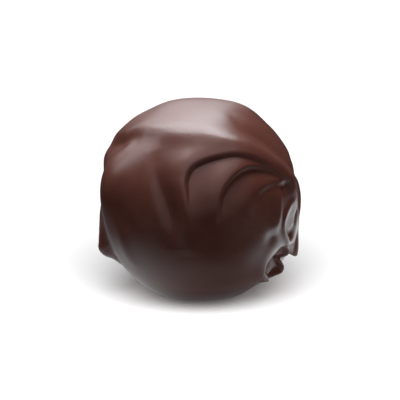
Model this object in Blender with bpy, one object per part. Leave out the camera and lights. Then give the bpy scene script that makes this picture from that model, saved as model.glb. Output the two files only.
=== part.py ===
"""Hand-dipped dark chocolate truffle, one solid.

A ganache ball in a thick dark coat. The coat was drawn off to the right, where it left a
gathered point with a fin, a drip and a torn lip. Folds run from there over the ball.

Metres, +Z up. The side that faces -Y is the front. The origin is under the ball's middle.
"""

import math

import bmesh
import bpy
import numpy as np

# Driving dimensions, in metres.
BALL_RADIUS = 0.0150
FOOT_DEPTH = 0.00045       # how far the ball has settled on its flat foot
FACET_TOLERANCE = 0.00003  # the facets stay this close to the true surface
FINEST_EDGE = 0.00022

MM = 0.001

# A place on the ball is (bearing, height) in degrees: bearing 0 faces -Y and grows
# towards +X, height 90 is the top.

# Broad swells and dents: place, rise in mm, half-width in degrees.
SWELLS = {
    "top_left_corner": ((-128, 64), 0.60, 16),
    "top_right_corner": ((124, 61), 0.60, 15),
    "top_back": ((175, 74), 0.20, 12),
    "back_middle": ((180, 0), -0.60, 25),
    "left_brow": ((-110, 49), 0.45, 9),
    "left_shoulder": ((-101, 33), 0.55, 10),
    "left_cheek": ((-99, 24), 0.60, 7.5),
    "left_waist": ((-90, 6), -0.45, 13),
    "left_bulge": ((-65, 18), 1.15, 17),
    "left_under": ((-56, -4), -0.25, 12),
    "front_belly": ((13, 8), 0.35, 13),
    "right_waist": ((92, 9), -1.25, 15),
    "right_brow": ((104, 37), -0.35, 12),
    "gather_sink": ((53, 35), -0.65, 13),
    "gather_collar": ((56, 18), 0.30, 8),
    "gathered_point": ((55.5, 16.8), -0.50, 2.2),
    "curtain_hollow": ((60, -6), -0.40, 9),
    "lobe_hollow": ((44, -9), -0.25, 4.5),
    "drip_hollow": ((66, -13), -0.60, 3.4),
    "drip_waist": ((84, -17), -0.20, 5),
    "torn_scoop": ((62, -30), -1.10, 10.5),
    "scoop_floor": ((63, -29), -0.80, 6),
    "lip_notch": ((70, -53), -1.05, 6.5),
    "bottom": ((10, -74), -0.30, 14),
}

# Where the coat hangs down off the ball: place, drop in mm, half-width in degrees.
HANGS = {
    "drip_tip": ((82, -23.5), 1.5, 4.2),
}

# Folds of the coat. A route is a list of (bearing, height, rise in mm). left and right are
# the flanks on each side of the crest, looking along the route from outside: the width in
# mm, and the hardness, from 0 for a flank that fades out to 1 for one that ends in a crease.
FOLDS = {
    "crown_ridge": dict(
        route=[(-165, 14, 0.0), (-140, 25, 0.3), (-118, 33, 0.5), (-100, 39, 0.55),
               (-72, 49, 0.60), (-46, 53, 0.65), (-20, 55, 0.75), (1, 54.5, 0.80),
               (15, 51.5, 0.65), (26, 48.5, 0.40), (36.5, 45.2, 0.15), (44, 41.7, 0.0)],
        left=(3.4, 0.0), right=(2.0, 0.0)),
    "crown_crest": dict(
        route=[(1, 54.3, 0.0), (15, 51.4, 0.15), (26, 48.4, 0.35), (36.5, 45.2, 0.50),
               (44, 41.7, 0.60), (50.5, 37.9, 0.70), (55, 34.6, 0.80), (58.8, 30, 0.95),
               (62.5, 23.5, 1.0), (64.2, 17.7, 0.95), (65.6, 11.5, 0.70), (68, 5, 0.35), (70, -1, 0.0)],
        left=(1.9, 0.0), right=(1.5, 0.3)),
    "crest_valley": dict(
        route=[(68, 74, 0.0), (56, 66, -0.10), (53, 60, -0.20), (53.5, 55, -0.30),
               (57, 49, -0.35), (60.5, 41.5, -0.35), (65, 31, -0.35), (69, 20, -0.1)],
        left=(2.4, 0.0), right=(1.2, 0.0)),
    "shoulder_valley": dict(
        route=[(-104, 27, 0.0), (-97, 32, -0.35), (-80, 39, -0.55), (-71, 45, -0.55),
               (-58, 48, -0.45), (-48, 49.5, -0.40), (-36, 51, -0.25), (-20, 51.5, -0.10),
               (-5, 51, 0.0)],
        left=(1.3, 0.0), right=(1.6, 0.0)),
    "outer_scallop": dict(
        route=[(-9, 5, 0.0), (-9.5, 13, 0.15), (-10.5, 21.5, 0.40), (-11, 28, 0.60), (-8, 35, 0.70),
               (0, 39.5, 0.75), (12.5, 42, 0.75), (24.5, 42, 0.75), (36, 38.8, 0.70), (45, 34.5, 0.60),
               (52.5, 29.8, 0.35), (58, 25, 0.0)],
        left=(2.7, 0.0), right=(0.85, 1.0)),
    "middle_scallop": dict(
        route=[(6, 1, 0.0), (7, 6.5, 0.3), (8, 12.5, 0.55), (10, 19.5, 0.80), (14, 25.5, 0.95),
               (21, 30.5, 1.0), (30.5, 33.5, 1.0), (40.5, 32.6, 0.90), (48.5, 29.5, 0.70),
               (54.5, 25.5, 0.40), (59, 21.5, 0.1)],
        left=(2.4, 0.0), right=(0.80, 1.0)),
    "inner_scallop": dict(
        route=[(23, 7, 0.1), (26, 11, 0.35), (30, 16, 0.5), (36, 20.5, 0.6), (44.5, 22.5, 0.6),
               (53, 22.5, 0.5), (60, 20, 0.2)],
        left=(2.2, 0.0), right=(1.5, 0.0)),
    "inner_crease": dict(
        route=[(27, 9, 0.0), (34, 15.5, -0.15), (42, 18.5, -0.25), (51, 18.5, -0.3), (59, 17.5, -0.25)],
        left=(0.7, 0.0), right=(0.7, 0.0)),
    "left_fold": dict(
        route=[(-12.5, 29, 0.0), (-11, 21, 0.25), (-9.5, 14, 0.45), (-8.5, 5.5, 0.50),
               (-8, -3, 0.40), (-7.5, -16, 0.0)],
        left=(1.4, 0.0), right=(1.6, 0.3)),
    "left_groove": dict(
        route=[(-37, 43, 0.0), (-34, 38, -0.10), (-29.5, 31, -0.25), (-25, 24, -0.50),
               (-21, 16, -0.80), (-17.5, 7.5, -0.85), (-15.5, -1, -0.50), (-15, -12, 0.0)],
        left=(1.6, 0.0), right=(1.3, 0.0)),
    "left_flange": dict(
        route=[(-94, 0, 0.0), (-92, -7, 0.25), (-91, -12, 0.45), (-89.5, -17, 0.80), (-88, -21, 1.25),
               (-87, -25, 1.75), (-85.5, -29, 1.45), (-84, -33, 0.60), (-81, -38, 0.0)],
        left=(2.0, 0.0), right=(1.5, 0.3)),
    "flange_groove": dict(
        route=[(-78, 4, 0.0), (-76, -6, -0.2), (-77, -16, -0.35), (-77, -25, -0.45),
               (-74, -33, -0.35), (-68, -42, 0.0)],
        left=(0.9, 0.0), right=(0.9, 0.0)),
    "left_crease": dict(
        route=[(-58, 2, 0.0), (-52, -10, 0.20), (-50, -20, 0.22), (-46, -32, 0.0)],
        left=(1.3, 0.0), right=(1.6, 0.0)),
    "curtain_crest": dict(
        route=[(50.5, 16, 0.15), (49.8, 12, 0.30), (48.8, 7, 0.42), (48.2, 2, 0.45), (47.5, -2, 0.40),
               (47, -6, 0.15), (46.5, -9, 0.0)],
        left=(0.8, 0.1), right=(1.2, 0.0)),
    "curtain_edge": dict(
        route=[(66, 8, 0.0), (62, 7, 0.15), (58.5, 5, 0.28), (55, 1, 0.38), (53.5, -3, 0.42),
               (55, -8, 0.45), (57.5, -12, 0.45), (61.5, -16.5, 0.40), (65, -20, 0.2)],
        left=(0.8, 0.1), right=(0.55, 0.1)),
    "curtain_pleat": dict(
        route=[(73, 7, 0.0), (71.5, 1, -0.22), (70, -5, -0.28), (68.5, -11, -0.1)],
        left=(0.5, 0.0), right=(0.5, 0.0)),
    "torn_rim": dict(
        route=[(72, -20, 0.3), (66, -18.5, 0.35), (58, -17, 0.25), (51.5, -16.5, 0.20), (47.5, -18, 0.20),
               (44.5, -21, 0.25), (43.5, -25, 0.3), (45.5, -31, 0.4), (50, -36.5, 0.5), (58, -41, 0.4)],
        left=(0.5, 1.0), right=(1.3, 0.0)),
    "torn_flap_one": dict(
        route=[(66, -21, 0.3), (70, -23.5, 0.60), (72.5, -26, 0.70), (73, -28.5, 0.60), (70.5, -31, 0.3)],
        left=(0.35, 0.3), right=(0.35, 0.3)),
    "torn_flap_two": dict(
        route=[(68, -32, 0.4), (72, -34.5, 1.1), (72.5, -38, 1.25), (68, -40, 1.0), (61, -42, 0.6),
               (54, -43, 0.2)],
        left=(0.40, 0.3), right=(0.40, 0.3)),
    "drip": dict(
        route=[(82, -9, 0.0), (83, -14, 0.20), (83.5, -18, 0.50), (83, -21.5, 0.72), (82.5, -24.5, 0.68),
               (82, -26.5, 0.2)],
        left=(0.50, 0.9), right=(0.60, 0.9)),
    "fin": dict(
        route=[(105, 13, 0.05), (106, 8, 0.65), (106.5, 0, 0.85), (105, -7, 0.70), (100, -13, 0.30),
               (94, -18, 0.0)],
        left=(0.7, 0.3), right=(0.6, 0.5)),
    "back_fold": dict(
        route=[(84, 26, 0.1), (100, 33, 0.3), (125, 37, 0.55), (150, 33, 0.5), (175, 22, 0.35),
               (-165, 6, 0.0)],
        left=(2.4, 0.0), right=(1.1, 0.9)),
    "back_fold_low": dict(
        route=[(96, 12, 0.1), (112, 17, 0.4), (134, 14, 0.5), (154, 3, 0.45), (168, -12, 0.3),
               (176, -28, 0.0)],
        left=(2.2, 0.0), right=(1.2, 0.8)),
    "back_fold_left": dict(
        route=[(-120, 22, 0.0), (-132, 8, 0.3), (-138, -8, 0.4), (-136, -24, 0.35),
               (-126, -40, 0.0)],
        left=(1.6, 0.0), right=(1.6, 0.0)),
}


def direction(bearing, height):
    b = math.radians(bearing)
    h = math.radians(height)
    return np.array([math.sin(b) * math.cos(h), -math.cos(b) * math.cos(h), math.sin(h)])


def unit(points):
    return points / np.linalg.norm(points, axis=1)[:, None]


def spline(points, steps=10):
    """Catmull-Rom curve through rows of numbers."""
    rows = np.array(points, float)
    rows = np.vstack([2 * rows[0] - rows[1], rows, 2 * rows[-1] - rows[-2]])
    out = []
    for a, b, c, d in zip(rows, rows[1:], rows[2:], rows[3:]):
        for t in np.arange(steps) / steps:
            out.append(0.5 * (2 * b + (c - a) * t + (2 * a - 5 * b + 4 * c - d) * t * t
                              + (3 * b - a - 3 * c + d) * t ** 3))
    out.append(rows[-2])
    return np.array(out)


def flank(t, hardness):
    """Height across one flank of a fold: 1 at the crest, 0 at the foot."""
    soft = np.exp(-t * t)
    q = 1 - t * t
    hard = 0.5 * (q + np.sqrt(q * q + 0.02)) / (0.5 * (1 + math.sqrt(1.02)))
    return soft + (hard - soft) * hardness


def fold_rise(at, route, left, right):
    """The rise of one fold in mm, in the directions at."""
    rows = np.array([[*direction(b, h), rise] for b, h, rise in route])
    curve = spline(rows)
    line = unit(curve[:, :3])
    along = unit(np.gradient(line, axis=0))
    side = np.cross(line, along)
    near = np.argmax(at @ line.T, axis=1)
    # Distance from the nearest point, refined along the curve.
    away = at - line[near]
    step = np.linalg.norm(np.diff(line, axis=0), axis=1).mean()
    slide = np.clip((away * along[near]).sum(1) / step, -0.5, 0.5)
    first = (near == 0) & (slide < 0)
    last = (near == len(line) - 1) & (slide > 0)
    crest = np.interp(near + slide, np.arange(len(curve)), curve[:, 3])
    across = (away * side[near]).sum(1)
    past = np.where(first | last, np.abs((away * along[near]).sum(1)), 0.0)
    distance = np.hypot(across, past) * BALL_RADIUS / MM
    shape = np.where(across > 0, flank(distance / left[0], left[1]),
                     flank(distance / right[0], right[1]))
    return crest * shape


def surface(at):
    """Points of the coat in the directions at, from the ball's centre."""
    rise = np.zeros(len(at))
    for place, height, width in SWELLS.values():
        angle = np.degrees(np.arccos(np.clip(at @ direction(*place), -1, 1)))
        rise += height * np.exp(-(angle / width) ** 2)
    for fold in FOLDS.values():
        rise += fold_rise(at, **fold)
    points = at * (BALL_RADIUS + rise * MM)[:, None]
    for place, drop, width in HANGS.values():
        angle = np.degrees(np.arccos(np.clip(at @ direction(*place), -1, 1)))
        points[:, 2] -= drop * MM * np.exp(-(angle / width) ** 2)
    return points


def fitted_sphere(rounds, tolerance, finest):
    """A unit sphere of triangles, split wherever the coat bends away from a flat facet."""
    bm = bmesh.new()
    bmesh.ops.create_icosphere(bm, subdivisions=5, radius=1.0)
    for _ in range(rounds):
        at = unit(np.array([v.co for v in bm.verts]))
        points = surface(at)
        bm.edges.ensure_lookup_table()
        bm.verts.index_update()
        ends = np.array([[v.index for v in e.verts] for e in bm.edges])
        middle = surface(unit(at[ends].mean(1)))
        gap = np.linalg.norm(middle - points[ends].mean(1), axis=1)
        length = np.linalg.norm(points[ends[:, 0]] - points[ends[:, 1]], axis=1)
        chosen = np.flatnonzero((gap > tolerance) & (length > finest))
        bmesh.ops.subdivide_edges(bm, edges=[bm.edges[i] for i in chosen], cuts=1)
        bmesh.ops.triangulate(bm, faces=[f for f in bm.faces if len(f.verts) > 3])
        for v in bm.verts:
            v.co.normalize()
    return bm


def dipped_ball():
    bm = fitted_sphere(4, FACET_TOLERANCE, FINEST_EDGE)
    points = surface(unit(np.array([v.co for v in bm.verts])))
    points[:, 2] += BALL_RADIUS - FOOT_DEPTH
    for v, point in zip(bm.verts, points):
        v.co = point
    everything = bm.verts[:] + bm.edges[:] + bm.faces[:]
    cut = bmesh.ops.bisect_plane(bm, geom=everything, plane_co=(0, 0, 0), plane_no=(0, 0, 1),
                                 clear_inner=True)
    rim = [e for e in cut["geom_cut"] if isinstance(e, bmesh.types.BMEdge)]
    bmesh.ops.contextual_create(bm, geom=rim)
    bmesh.ops.triangulate(bm, faces=[f for f in bm.faces if len(f.verts) > 3])
    bmesh.ops.recalc_face_normals(bm, faces=bm.faces[:])
    mesh = bpy.data.meshes.new("truffle")
    bm.to_mesh(mesh)
    bm.free()
    mesh.shade_smooth()
    ball = bpy.data.objects.new("truffle", mesh)
    bpy.context.collection.objects.link(ball)
    return ball


def chocolate():
    material = bpy.data.materials.new("dark_chocolate")
    material.use_nodes = True
    shader = material.node_tree.nodes["Principled BSDF"]
    shader.inputs["Base Color"].default_value = (0.075, 0.024, 0.017, 1)
    shader.inputs["Roughness"].default_value = 0.36
    shader.inputs["Metallic"].default_value = 0.0
    return material


def main():
    for old in list(bpy.data.objects):
        bpy.data.objects.remove(old)
    ball = dipped_ball()
    ball.data.materials.append(chocolate())
    print("triangles", len(ball.data.polygons))


if __name__ == "__main__":
    main()
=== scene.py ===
import math

import bmesh
import bpy
import numpy as np
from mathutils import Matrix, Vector


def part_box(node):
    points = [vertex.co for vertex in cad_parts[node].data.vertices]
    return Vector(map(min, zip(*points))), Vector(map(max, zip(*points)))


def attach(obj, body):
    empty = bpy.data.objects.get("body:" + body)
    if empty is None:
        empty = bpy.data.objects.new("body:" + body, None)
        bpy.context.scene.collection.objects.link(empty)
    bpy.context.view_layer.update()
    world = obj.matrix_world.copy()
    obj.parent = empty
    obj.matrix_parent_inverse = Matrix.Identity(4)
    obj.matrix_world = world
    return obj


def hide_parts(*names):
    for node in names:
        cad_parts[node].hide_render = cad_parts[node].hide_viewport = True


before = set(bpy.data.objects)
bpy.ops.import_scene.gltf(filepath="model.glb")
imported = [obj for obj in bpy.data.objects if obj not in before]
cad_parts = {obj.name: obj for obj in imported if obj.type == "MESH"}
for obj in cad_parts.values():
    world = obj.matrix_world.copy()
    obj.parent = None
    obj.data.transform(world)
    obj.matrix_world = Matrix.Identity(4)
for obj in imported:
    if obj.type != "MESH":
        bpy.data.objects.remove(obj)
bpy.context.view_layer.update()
nodeLow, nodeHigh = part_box("truffle")
print("frame loaded, box in mm", [round(1000 * (b - a), 2) for a, b in zip(nodeLow, nodeHigh)])

mm = 0.001

# Places on the ball are (bearing, height) in degrees. Bearing 0 faces the front, -Y, and
# grows towards +X. Height 90 is the top.
coat = {
    "ballRadius": 15.0 * mm,
    "footDepth": 0.45 * mm,       # how far the ball has settled on its flat foot
    "startLevel": 7,              # subdivisions of the sphere before it is fitted
    "fitRounds": 2,
    "tolerance": 0.004 * mm,      # facets stay this close to the true surface
    "finestEdge": 0.11 * mm,
    "curveSteps": 10,             # points on a fold's curve for each stretch of its route
    "creaseRounding": 0.02,       # of a hard flank's foot
    "foldReach": 2.8,             # a fold ends this many flank widths from its crest
    # broad swells and dents: place, rise in mm, half-width in degrees
    "swells": {
        "topLeftCorner": ((-128, 64), 0.60, 16),
        "topRightCorner": ((124, 61), 0.60, 15),
        "topBack": ((175, 74), 0.20, 12),
        "backMiddle": ((180, 0), -0.60, 25),
        "leftBrow": ((-110, 49), 0.45, 9),
        "leftShoulder": ((-101, 33), 0.55, 10),
        "leftCheek": ((-99, 24), 0.60, 7.5),
        "leftWaist": ((-90, 6), -0.45, 13),
        "leftBulge": ((-65, 18), 1.15, 17),
        "leftUnder": ((-56, -4), -0.25, 12),
        "frontBelly": ((13, 8), 0.35, 13),
        "rightWaist": ((92, 9), -1.25, 15),
        "rightBrow": ((104, 37), -0.35, 12),
        "gatherSink": ((53, 35), -0.65, 13),
        "gatherCollar": ((56, 18), 0.30, 8),
        "gatheredPoint": ((55.5, 16.8), -0.50, 2.2),
        "curtainHollow": ((60, -6), -0.40, 9),
        "lobeHollow": ((44, -9), -0.25, 4.5),
        "dripHollow": ((66, -13), -0.60, 3.4),
        "dripWaist": ((84, -17), -0.20, 5),
        "tornScoop": ((62, -30), -1.10, 10.5),
        "scoopFloor": ((63, -29), -0.80, 6),
        "lipNotch": ((70, -53), -1.05, 6.5),
        "bottom": ((10, -74), -0.30, 14),
    },
    # where the coat hangs down off the ball: place, drop in mm, half-width in degrees
    "hangs": {
        "dripTip": ((82, -23.5), 1.5, 4.2),
    },
    # folds: a route of (bearing, height, rise in mm), and for the flank on each side of the
    # crest its width in mm and its hardness, from 0 that fades out to 1 that ends in a crease
    "folds": {
        "crownRidge": dict(
            route=[(-165, 14, 0.0), (-140, 25, 0.3), (-118, 33, 0.5), (-100, 39, 0.55),
                   (-72, 49, 0.60), (-46, 53, 0.65), (-20, 55, 0.75), (1, 54.5, 0.80),
                   (15, 51.5, 0.65), (26, 48.5, 0.40), (36.5, 45.2, 0.15), (44, 41.7, 0.0)],
            left=(3.4, 0.0), right=(2.0, 0.0)),
        "crownCrest": dict(
            route=[(1, 54.3, 0.0), (15, 51.4, 0.15), (26, 48.4, 0.35), (36.5, 45.2, 0.50),
                   (44, 41.7, 0.60), (50.5, 37.9, 0.70), (55, 34.6, 0.80), (58.8, 30, 0.95),
                   (62.5, 23.5, 1.0), (64.2, 17.7, 0.95), (65.6, 11.5, 0.70), (68, 5, 0.35),
                   (70, -1, 0.0)],
            left=(1.9, 0.0), right=(1.5, 0.3)),
        "crestValley": dict(
            route=[(68, 74, 0.0), (56, 66, -0.10), (53, 60, -0.20), (53.5, 55, -0.30),
                   (57, 49, -0.35), (60.5, 41.5, -0.35), (65, 31, -0.35), (69, 20, -0.1)],
            left=(2.4, 0.0), right=(1.2, 0.0)),
        "shoulderValley": dict(
            route=[(-104, 27, 0.0), (-97, 32, -0.35), (-80, 39, -0.55), (-71, 45, -0.55),
                   (-58, 48, -0.45), (-48, 49.5, -0.40), (-36, 51, -0.25), (-20, 51.5, -0.10),
                   (-5, 51, 0.0)],
            left=(1.3, 0.0), right=(1.6, 0.0)),
        "outerScallop": dict(
            route=[(-9, 5, 0.0), (-9.5, 13, 0.15), (-10.5, 21.5, 0.40), (-11, 28, 0.60),
                   (-8, 35, 0.70), (0, 39.5, 0.75), (12.5, 42, 0.75), (24.5, 42, 0.75),
                   (36, 38.8, 0.70), (45, 34.5, 0.60), (52.5, 29.8, 0.35), (58, 25, 0.0)],
            left=(2.7, 0.0), right=(0.85, 1.0)),
        "middleScallop": dict(
            route=[(6, 1, 0.0), (7, 6.5, 0.3), (8, 12.5, 0.55), (10, 19.5, 0.80), (14, 25.5, 0.95),
                   (21, 30.5, 1.0), (30.5, 33.5, 1.0), (40.5, 32.6, 0.90), (48.5, 29.5, 0.70),
                   (54.5, 25.5, 0.40), (59, 21.5, 0.1)],
            left=(2.4, 0.0), right=(0.80, 1.0)),
        "innerScallop": dict(
            route=[(23, 7, 0.1), (26, 11, 0.35), (30, 16, 0.5), (36, 20.5, 0.6), (44.5, 22.5, 0.6),
                   (53, 22.5, 0.5), (60, 20, 0.2)],
            left=(2.2, 0.0), right=(1.5, 0.0)),
        "innerCrease": dict(
            route=[(27, 9, 0.0), (34, 15.5, -0.15), (42, 18.5, -0.25), (51, 18.5, -0.3),
                   (59, 17.5, -0.25)],
            left=(0.7, 0.0), right=(0.7, 0.0)),
        "leftFold": dict(
            route=[(-12.5, 29, 0.0), (-11, 21, 0.25), (-9.5, 14, 0.45), (-8.5, 5.5, 0.50),
                   (-8, -3, 0.40), (-7.5, -16, 0.0)],
            left=(1.4, 0.0), right=(1.6, 0.3)),
        "leftGroove": dict(
            route=[(-37, 43, 0.0), (-34, 38, -0.10), (-29.5, 31, -0.25), (-25, 24, -0.50),
                   (-21, 16, -0.80), (-17.5, 7.5, -0.85), (-15.5, -1, -0.50), (-15, -12, 0.0)],
            left=(1.6, 0.0), right=(1.3, 0.0)),
        "leftFlange": dict(
            route=[(-94, 0, 0.0), (-92, -7, 0.25), (-91, -12, 0.45), (-89.5, -17, 0.80),
                   (-88, -21, 1.25), (-87, -25, 1.75), (-85.5, -29, 1.45), (-84, -33, 0.60),
                   (-81, -38, 0.0)],
            left=(2.0, 0.0), right=(1.5, 0.3)),
        "flangeGroove": dict(
            route=[(-78, 4, 0.0), (-76, -6, -0.2), (-77, -16, -0.35), (-77, -25, -0.45),
                   (-74, -33, -0.35), (-68, -42, 0.0)],
            left=(0.9, 0.0), right=(0.9, 0.0)),
        "leftCrease": dict(
            route=[(-58, 2, 0.0), (-52, -10, 0.20), (-50, -20, 0.22), (-46, -32, 0.0)],
            left=(1.3, 0.0), right=(1.6, 0.0)),
        "curtainCrest": dict(
            route=[(50.5, 16, 0.15), (49.8, 12, 0.30), (48.8, 7, 0.42), (48.2, 2, 0.45),
                   (47.5, -2, 0.40), (47, -6, 0.15), (46.5, -9, 0.0)],
            left=(0.8, 0.1), right=(1.2, 0.0)),
        "curtainEdge": dict(
            route=[(66, 8, 0.0), (62, 7, 0.15), (58.5, 5, 0.28), (55, 1, 0.38), (53.5, -3, 0.42),
                   (55, -8, 0.45), (57.5, -12, 0.45), (61.5, -16.5, 0.40), (65, -20, 0.2)],
            left=(0.8, 0.1), right=(0.55, 0.1)),
        "curtainPleat": dict(
            route=[(73, 7, 0.0), (71.5, 1, -0.22), (70, -5, -0.28), (68.5, -11, -0.1)],
            left=(0.5, 0.0), right=(0.5, 0.0)),
        "tornRim": dict(
            route=[(72, -20, 0.3), (66, -18.5, 0.35), (58, -17, 0.25), (51.5, -16.5, 0.20),
                   (47.5, -18, 0.20), (44.5, -21, 0.25), (43.5, -25, 0.3), (45.5, -31, 0.4),
                   (50, -36.5, 0.5), (58, -41, 0.4)],
            left=(0.5, 1.0), right=(1.3, 0.0)),
        "tornFlapOne": dict(
            route=[(66, -21, 0.3), (70, -23.5, 0.60), (72.5, -26, 0.70), (73, -28.5, 0.60),
                   (70.5, -31, 0.3)],
            left=(0.35, 0.3), right=(0.35, 0.3)),
        "tornFlapTwo": dict(
            route=[(68, -32, 0.4), (72, -34.5, 1.1), (72.5, -38, 1.25), (68, -40, 1.0),
                   (61, -42, 0.6), (54, -43, 0.2)],
            left=(0.40, 0.3), right=(0.40, 0.3)),
        "drip": dict(
            route=[(82, -9, 0.0), (83, -14, 0.20), (83.5, -18, 0.50), (83, -21.5, 0.72),
                   (82.5, -24.5, 0.68), (82, -26.5, 0.2)],
            left=(0.50, 0.9), right=(0.60, 0.9)),
        "fin": dict(
            route=[(105, 13, 0.05), (106, 8, 0.65), (106.5, 0, 0.85), (105, -7, 0.70), (100, -13, 0.30),
                   (94, -18, 0.0)],
            left=(0.7, 0.3), right=(0.6, 0.5)),
        "backFold": dict(
            route=[(84, 26, 0.1), (100, 33, 0.3), (125, 37, 0.55), (150, 33, 0.5), (175, 22, 0.35),
                   (-165, 6, 0.0)],
            left=(2.4, 0.0), right=(1.1, 0.9)),
        "backFoldLow": dict(
            route=[(96, 12, 0.1), (112, 17, 0.4), (134, 14, 0.5), (154, 3, 0.45), (168, -12, 0.3),
                   (176, -28, 0.0)],
            left=(2.2, 0.0), right=(1.2, 0.8)),
        "backFoldLeft": dict(
            route=[(-120, 22, 0.0), (-132, 8, 0.3), (-138, -8, 0.4), (-136, -24, 0.35),
                   (-126, -40, 0.0)],
            left=(1.6, 0.0), right=(1.6, 0.0)),
    },
}


def direction(bearing, height):
    around = math.radians(bearing)
    up = math.radians(height)
    return np.array([math.sin(around) * math.cos(up), -math.cos(around) * math.cos(up), math.sin(up)])


def unit(points):
    return points / np.linalg.norm(points, axis=1)[:, None]


def curveThrough(points):
    # a Catmull-Rom curve through rows of numbers
    rows = np.array(points, float)
    rows = np.vstack([2 * rows[0] - rows[1], rows, 2 * rows[-1] - rows[-2]])
    steps = coat["curveSteps"]
    curve = []
    for a, b, c, d in zip(rows, rows[1:], rows[2:], rows[3:]):
        for t in np.arange(steps) / steps:
            curve.append(0.5 * (2 * b + (c - a) * t + (2 * a - 5 * b + 4 * c - d) * t * t
                                + (3 * b - a - 3 * c + d) * t ** 3))
    curve.append(rows[-2])
    return np.array(curve)


def flank(widths, hardness):
    # what is left of the crest's rise, this many flank widths away from it
    soft = np.exp(-widths * widths)
    fall = 1 - widths * widths
    rounding = coat["creaseRounding"]
    hard = (fall + np.sqrt(fall * fall + rounding)) / (1 + math.sqrt(1 + rounding))
    return soft + (hard - soft) * hardness


def foldRise(at, route, left, right):
    rows = np.array([[*direction(b, h), rise] for b, h, rise in route])
    curve = curveThrough(rows)
    line = unit(curve[:, :3])
    along = unit(np.gradient(line, axis=0))
    side = np.cross(line, along)
    radius = coat["ballRadius"] / mm
    # only the part of the ball that the fold reaches is worked out
    middle = line.mean(0) / np.linalg.norm(line.mean(0))
    reach = (np.arccos(np.clip((line @ middle).min(), -1, 1))
             + coat["foldReach"] * max(left[0], right[0]) / radius)
    inReach = np.flatnonzero(at @ middle > math.cos(min(reach, math.pi)))
    here = at[inReach]
    near = np.argmax(here @ line.T, axis=1)
    away = here - line[near]
    step = np.linalg.norm(np.diff(line, axis=0), axis=1).mean()
    slide = np.clip((away * along[near]).sum(1) / step, -0.5, 0.5)
    pastEnd = ((near == 0) & (slide < 0)) | ((near == len(line) - 1) & (slide > 0))
    crest = np.interp(near + slide, np.arange(len(curve)), curve[:, 3])
    across = (away * side[near]).sum(1)
    past = np.where(pastEnd, np.abs((away * along[near]).sum(1)), 0.0)
    distance = np.hypot(across, past) * radius
    shape = np.where(across > 0, flank(distance / left[0], left[1]),
                     flank(distance / right[0], right[1]))
    rise = np.zeros(len(at))
    rise[inReach] = crest * shape
    return rise


def spread(at, place, width):
    # 1 at the place, and fading away round it
    angle = np.degrees(np.arccos(np.clip(at @ direction(*place), -1, 1)))
    return np.exp(-(angle / width) ** 2)


def coatSurface(at):
    # points of the coat in the directions at, from the ball's middle
    rise = np.zeros(len(at))
    for place, height, width in coat["swells"].values():
        rise += height * spread(at, place, width)
    for fold in coat["folds"].values():
        rise += foldRise(at, **fold)
    points = at * (coat["ballRadius"] + rise * mm)[:, None]
    for place, drop, width in coat["hangs"].values():
        points[:, 2] -= drop * mm * spread(at, place, width)
    return points


def vertexArray(bm):
    return np.array([v.co[:] for v in bm.verts])


def fittedSphere():
    # a sphere of triangles, split again wherever the coat bends away from a facet's edge
    bm = bmesh.new()
    bmesh.ops.create_icosphere(bm, subdivisions=coat["startLevel"], radius=1.0)
    for _ in range(coat["fitRounds"]):
        at = unit(vertexArray(bm))
        points = coatSurface(at)
        bm.verts.index_update()
        edges = bm.edges[:]
        ends = np.array([[e.verts[0].index, e.verts[1].index] for e in edges])
        length = np.linalg.norm(points[ends[:, 0]] - points[ends[:, 1]], axis=1)
        middle = coatSurface(unit(at[ends].mean(1)))
        gap = np.linalg.norm(middle - points[ends].mean(1), axis=1)
        chosen = np.flatnonzero((gap > coat["tolerance"]) & (length > coat["finestEdge"]))
        bmesh.ops.subdivide_edges(bm, edges=[edges[i] for i in chosen], cuts=1)
        bmesh.ops.triangulate(bm, faces=[f for f in bm.faces if len(f.verts) > 3])
        for v in bm.verts:
            v.co.normalize()
    return bm


def newObject(name, data):
    made = bpy.data.objects.new(name, data)
    bpy.context.scene.collection.objects.link(made)
    return made


def makeCoat():
    bm = fittedSphere()
    points = coatSurface(unit(vertexArray(bm)))
    points[:, 2] += coat["ballRadius"] - coat["footDepth"]
    for v, point in zip(bm.verts, points):
        v.co = point
    # the flat foot is cut at the floor
    cut = bmesh.ops.bisect_plane(bm, geom=bm.verts[:] + bm.edges[:] + bm.faces[:], plane_co=(0, 0, 0),
                                 plane_no=(0, 0, 1), clear_inner=True)
    rim = [e for e in cut["geom_cut"] if isinstance(e, bmesh.types.BMEdge)]
    bmesh.ops.contextual_create(bm, geom=rim)
    bmesh.ops.triangulate(bm, faces=[f for f in bm.faces if len(f.verts) > 3])
    bmesh.ops.recalc_face_normals(bm, faces=bm.faces[:])
    mesh = bpy.data.meshes.new("truffleCoat")
    bm.to_mesh(mesh)
    bm.free()
    mesh.shade_smooth()
    return newObject("truffleCoat", mesh)


class Wire:
    # a shader socket that takes part in sums: 1 - wire adds a Math node
    def __init__(self, tree, socket=None):
        self.tree = tree
        self.socket = socket

    def node(self, kind, settings=None, sockets=None, output=0):
        made = self.tree.nodes.new(kind)
        for name, value in (settings or {}).items():
            setattr(made, name, value)
        for name, value in (sockets or {}).items():
            if isinstance(value, Wire):
                self.tree.links.new(value.socket, made.inputs[name])
            else:
                made.inputs[name].default_value = value
        return Wire(self.tree, made.outputs[output])

    def maths(self, operation, first, second):
        return self.node("ShaderNodeMath", {"operation": operation}, {0: first, 1: second})

    def __add__(self, other):
        return self.maths("ADD", self, other)

    __radd__ = __add__

    def __mul__(self, other):
        return self.maths("MULTIPLY", self, other)

    __rmul__ = __mul__

    def __sub__(self, other):
        return self.maths("SUBTRACT", self, other)

    def __rsub__(self, other):
        return self.maths("SUBTRACT", other, self)


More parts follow.
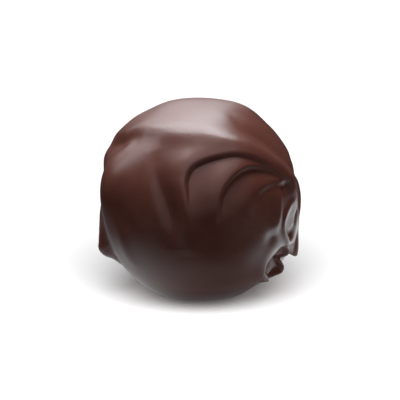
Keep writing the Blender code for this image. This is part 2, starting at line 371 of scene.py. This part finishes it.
chocolate = {
    "colour": (0.078, 0.0235, 0.0165, 1.0),
    "paleColour": (0.100, 0.033, 0.024, 1.0),   # where the cocoa butter shows a little
    "paleness": 0.5,                            # the most of the pale colour
    "roughness": 0.34,
    "roughnessSpread": 0.06,
    "ior": 1.5,
    "mottleRange": (0.35, 0.70),                # of the cloud, from no paleness to all of it
    "pitSpacing": 1.9 * mm,
    "pitRadius": 0.13 * mm,
    "pitDepth": 0.045 * mm,
    # noises over the surface: their size, how many finer layers they have, and how strong those are
    "mottle": dict(size=2.2 * mm, detail=4.0, fineness=0.6),
    "wave": dict(size=1.6 * mm, detail=1.0, fineness=0.4),
    "grain": dict(size=0.30 * mm, detail=2.0, fineness=0.5),
    "waveDepth": 0.010 * mm,
    "grainDepth": 0.0035 * mm,
}


def makeChocolate():
    material = bpy.data.materials.new("darkChocolate")
    material.use_nodes = True
    tree = material.node_tree
    shader = tree.nodes["Principled BSDF"]
    wire = Wire(tree)
    place = wire.node("ShaderNodeTexCoord", output="Object")

    def noise(size, detail, fineness):
        return wire.node("ShaderNodeTexNoise", None, {
            "Vector": place, "Scale": 1 / size, "Detail": detail, "Roughness": fineness})

    cloud = noise(**chocolate["mottle"])
    wave = noise(**chocolate["wave"])
    grain = noise(**chocolate["grain"])
    cell = wire.node("ShaderNodeTexVoronoi", None, {
        "Vector": place, "Scale": 1 / chocolate["pitSpacing"]})
    pitEdge = chocolate["pitRadius"] / chocolate["pitSpacing"]
    pit = wire.node("ShaderNodeMapRange", {"interpolation_type": "SMOOTHSTEP"}, {
        "Value": cell, "From Min": 0.0, "From Max": pitEdge, "To Min": 1.0, "To Max": 0.0})
    mottleLow, mottleHigh = chocolate["mottleRange"]
    mottle = wire.node("ShaderNodeMapRange", None, {
        "Value": cloud, "From Min": mottleLow, "From Max": mottleHigh})
    height = (wave * (chocolate["waveDepth"] / mm) + grain * (chocolate["grainDepth"] / mm)
              - pit * (chocolate["pitDepth"] / mm))
    bump = wire.node("ShaderNodeBump", None, {"Height": height, "Distance": mm, "Strength": 1.0})
    # a Mix node's sockets 6 and 7 and its output 2 are those for colours
    colour = wire.node("ShaderNodeMix", {"data_type": "RGBA"}, {
        0: mottle * chocolate["paleness"], 6: chocolate["colour"], 7: chocolate["paleColour"]}, output=2)
    roughness = chocolate["roughness"] + (cloud - 0.5) * (2 * chocolate["roughnessSpread"])
    tree.links.new(colour.socket, shader.inputs["Base Color"])
    tree.links.new(roughness.socket, shader.inputs["Roughness"])
    tree.links.new(bump.socket, shader.inputs["Normal"])
    shader.inputs["IOR"].default_value = chocolate["ior"]
    return material


truffle = makeCoat()
truffle.data.materials.append(makeChocolate())
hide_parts("truffle")
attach(truffle, "root")
print("coat made,", len(truffle.data.polygons), "triangles")

ballMiddle = Vector((0, 0, coat["ballRadius"] - coat["footDepth"]))

# The photograph is 400 pixels square, and the ball is 203 of them across.
photo = {
    "width": 400,
    "ballWidth": 203,
    "ballMiddle": (201.0, 201.5),
    "elevation": 16.0,            # how far the camera looks down, in degrees
    "distance": 0.5,              # from the camera to the ball's middle, in metres
    "sensor": 36.0,               # in millimetres
}


def makeCamera():
    elevation = math.radians(photo["elevation"])
    back = Vector((0, -math.cos(elevation), math.sin(elevation)))
    up = Vector((0, math.sin(elevation), math.cos(elevation)))
    pixel = 2 * coat["ballRadius"] / photo["ballWidth"]
    middle = photo["width"] / 2
    aim = (ballMiddle + Vector((1, 0, 0)) * (middle - photo["ballMiddle"][0]) * pixel
           + up * (photo["ballMiddle"][1] - middle) * pixel)
    camera = newObject("camera", bpy.data.cameras.new("camera"))
    camera.location = aim + back * photo["distance"]
    camera.rotation_euler = (-back).to_track_quat("-Z", "Y").to_euler()
    camera.data.sensor_width = photo["sensor"]
    camera.data.lens = photo["sensor"] * photo["distance"] / (photo["width"] * pixel)
    bpy.context.scene.camera = camera


makeCamera()
print("camera set")

studio = {
    # A light stands at a rise (0 front horizon, 90 overhead, 180 back horizon), a turn to the
    # right and a distance from the ball's middle. glow is how bright the panel looks.
    # These panels show in the chocolate's sheen alone.
    "sheenPanels": {
        "overheadPanel": dict(rise=108, turn=-8, distance=0.40, size=(0.38, 0.15), glow=9.0),
        "backPanel": dict(rise=128, turn=-9, distance=0.40, size=(0.40, 0.14), glow=6.4),
        "lowBackPanel": dict(rise=148, turn=-15, distance=0.40, size=(0.40, 0.14), glow=2.3),
        "horizonPanel": dict(rise=168, turn=0, distance=0.40, size=(0.18, 0.14), glow=0.5),
        "frontPanel": dict(rise=62, turn=-4, distance=0.50, size=(0.58, 0.60), glow=0.95),
        "lowFrontPanel": dict(rise=15, turn=4, distance=0.50, size=(0.58, 0.28), glow=0.35),
        "leftPanel": dict(rise=114, turn=-46, distance=0.40, size=(0.12, 0.20), glow=3.2),
    },
    # These light its colour alone.
    "fillSize": (0.28, 0.28),
    "fillDistance": 0.40,
    "fills": {
        "topFill": dict(rise=90, turn=0, glow=9.0),
        "leftFill": dict(rise=105, turn=-26, glow=5.6),
        "backFill": dict(rise=141, turn=35, glow=2.4),
        "underFillLeft": dict(rise=-43, turn=-52, glow=1.2),
        "underFillRight": dict(rise=-43, turn=52, glow=2.2),
    },
    "sheenColour": (0.92, 1.0, 1.04),
    "surround": 0.04,             # the even light that the surround adds to the chocolate's colour
    "surroundSheen": 0.03,        # and to its sheen
    "backdrop": 1.2,              # how white it looks to the camera
    "floorSize": 4.0,
    "floorColour": (0.9, 0.9, 0.9, 1.0),
    "floorGlow": 0.07,
    "floorSun": 5.6,
    "floorSunAngle": 58,          # how wide the sun is, in degrees, which softens the shadow
    "floorSunFrom": (0, -0.72, 0.69),
    # the floor's glow in the chocolate's sheen, painted on a glowing card that is no lamp: a painted
    # reflection of the pale floor, which also lights the chocolate's underside.
    # A fade or an end is (where it is 0, where it is full), in metres
    "bounce": {
        "size": (0.22, 0.08),
        "middle": (0.02, 0.015, -0.0002),
        "frontFade": (-0.032, -0.006),
        "slant": 0.35,                # on the right the glow starts farther back
        "slantFade": (-0.028, -0.016),
        "backFade": (0.050, 0.024),
        "leftEnd": (-0.040, -0.012),
        "rightEnd": (0.062, 0.046),
        "rightFade": (0.010, 0.022),
        "glowUnder": 0.85,
        "glowRight": 1.10,            # what is added on the right
        "shadowMiddle": (0.005, -0.004, 0),   # the middle of the ball's painted shadow in the card's glow, round its foot
        # painted shadow: where the fade is 0 and where it is full, in metres
        "shadowFade": (0.006, 0.018),
        "shadowGlow": 0.25,           # what the painted shadow leaves of the glow
    },
}


def receivers(name, member):
    # a light linked to this collection reaches nothing else
    group = bpy.data.collections.new(name)
    group.objects.link(member)
    return group


def makePanel(name, group, isSheen, rise, turn, distance, size, glow):
    panel = bpy.data.lights.new(name, "AREA")
    panel.shape = "RECTANGLE"
    panel.size, panel.size_y = size
    panel.energy = glow * math.pi * size[0] * size[1]
    if isSheen:
        panel.color = studio["sheenColour"]
    over = math.radians(rise)
    aside = math.radians(turn)
    away = Vector((math.sin(aside), -math.cos(over) * math.cos(aside), math.sin(over) * math.cos(aside)))
    lamp = newObject(name, panel)
    lamp.location = ballMiddle + away * distance
    lamp.rotation_euler = (-away).to_track_quat("-Z", "Y").to_euler()
    lamp.visible_diffuse = not isSheen
    lamp.visible_glossy = isSheen
    lamp.light_linking.receiver_collection = group
    lamp.light_linking.blocker_collection = group


def makeFloor():
    half = studio["floorSize"] / 2
    mesh = bpy.data.meshes.new("floor")
    mesh.from_pydata([(-half, -half, 0), (half, -half, 0), (half, half, 0), (-half, half, 0)], [],
                     [(0, 1, 2, 3)])
    floor = newObject("floor", mesh)
    material = bpy.data.materials.new("paleFloor")
    material.use_nodes = True
    shader = material.node_tree.nodes["Principled BSDF"]
    shader.inputs["Base Color"].default_value = studio["floorColour"]
    shader.inputs["Roughness"].default_value = 1.0
    shader.inputs["Specular IOR Level"].default_value = 0.0
    shader.inputs["Emission Color"].default_value = studio["floorColour"]
    shader.inputs["Emission Strength"].default_value = studio["floorGlow"]
    mesh.materials.append(material)
    floor.visible_glossy = False
    floor.visible_diffuse = False
    sun = newObject("floorSun", bpy.data.lights.new("floorSun", "SUN"))
    sun.data.energy = studio["floorSun"]
    sun.data.angle = math.radians(studio["floorSunAngle"])
    sun.rotation_euler = (-Vector(studio["floorSunFrom"])).to_track_quat("-Z", "Y").to_euler()
    sun.light_linking.receiver_collection = receivers("litByFloorSun", floor)


def makeBounce():
    # a glowing card, no lamp, with a painted reflection of the pale floor as the chocolate's sheen shows
    # it: bright beside and behind the foot, with a painted shadow round the foot
    bounce = studio["bounce"]
    bm = bmesh.new()
    bmesh.ops.create_grid(bm, x_segments=1, y_segments=1, size=0.5)
    mesh = bpy.data.meshes.new("floorBounce")
    bm.to_mesh(mesh)
    bm.free()
    card = newObject("floorBounce", mesh)
    card.location = bounce["middle"]
    card.scale = (*bounce["size"], 1)
    material = bpy.data.materials.new("floorBounce")
    material.use_nodes = True
    tree = material.node_tree
    tree.nodes.clear()
    wire = Wire(tree)
    spot = wire.node("ShaderNodeNewGeometry", output="Position")
    along = wire.node("ShaderNodeSeparateXYZ", None, {0: spot}, output="X")
    depth = wire.node("ShaderNodeSeparateXYZ", None, {0: spot}, output="Y")
    away = wire.node("ShaderNodeVectorMath", {"operation": "DISTANCE"},
                     {0: spot, 1: bounce["shadowMiddle"]}, output="Value")

    def fade(value, name):
        start, full = bounce[name]
        return wire.node("ShaderNodeMapRange", {"interpolation_type": "SMOOTHSTEP"}, {
            "Value": value, "From Min": start, "From Max": full})

    glow = bounce["glowUnder"] + fade(along, "rightFade") * bounce["glowRight"]
    # painted shadow: the card's glow is darkened by a fixed fade round the ball's foot, not by a cast
    # shadow
    shadow = bounce["shadowGlow"] + fade(away, "shadowFade") * (1 - bounce["shadowGlow"])
    front = fade(depth, "frontFade") * fade(depth - along * bounce["slant"], "slantFade")
    strength = (glow * shadow * front * fade(depth, "backFade")
                * fade(along, "leftEnd") * fade(along, "rightEnd"))
    # the card's glow is the painted reflection of the floor; the card is not a lamp
    emission = wire.node("ShaderNodeEmission", None, {
        "Color": (*studio["sheenColour"], 1.0), "Strength": strength})
    output = tree.nodes.new("ShaderNodeOutputMaterial")
    tree.links.new(emission.socket, output.inputs[0])
    mesh.materials.append(material)
    card.visible_camera = False
    card.visible_shadow = False


def makeSurround():
    # white to the camera, and a dim even light for everything else
    world = bpy.data.worlds.new("surround")
    bpy.context.scene.world = world
    world.use_nodes = True
    tree = world.node_tree
    tree.nodes.clear()
    wire = Wire(tree)
    seen = wire.node("ShaderNodeLightPath", output="Is Camera Ray")
    sheen = wire.node("ShaderNodeLightPath", output="Is Glossy Ray")
    strength = (studio["surround"] + sheen * (studio["surroundSheen"] - studio["surround"])
                + seen * (studio["backdrop"] - studio["surround"]))
    background = wire.node("ShaderNodeBackground", None, {"Strength": strength})
    output = tree.nodes.new("ShaderNodeOutputWorld")
    tree.links.new(background.socket, output.inputs[0])


onTruffle = receivers("litByPanels", truffle)
for name, panel in studio["sheenPanels"].items():
    makePanel(name, onTruffle, True, **panel)
for name, panel in studio["fills"].items():
    makePanel(name, onTruffle, False, **panel, distance=studio["fillDistance"], size=studio["fillSize"])
makeFloor()
makeBounce()
makeSurround()
bpy.context.scene.view_settings.view_transform = "Standard"
print("studio made")
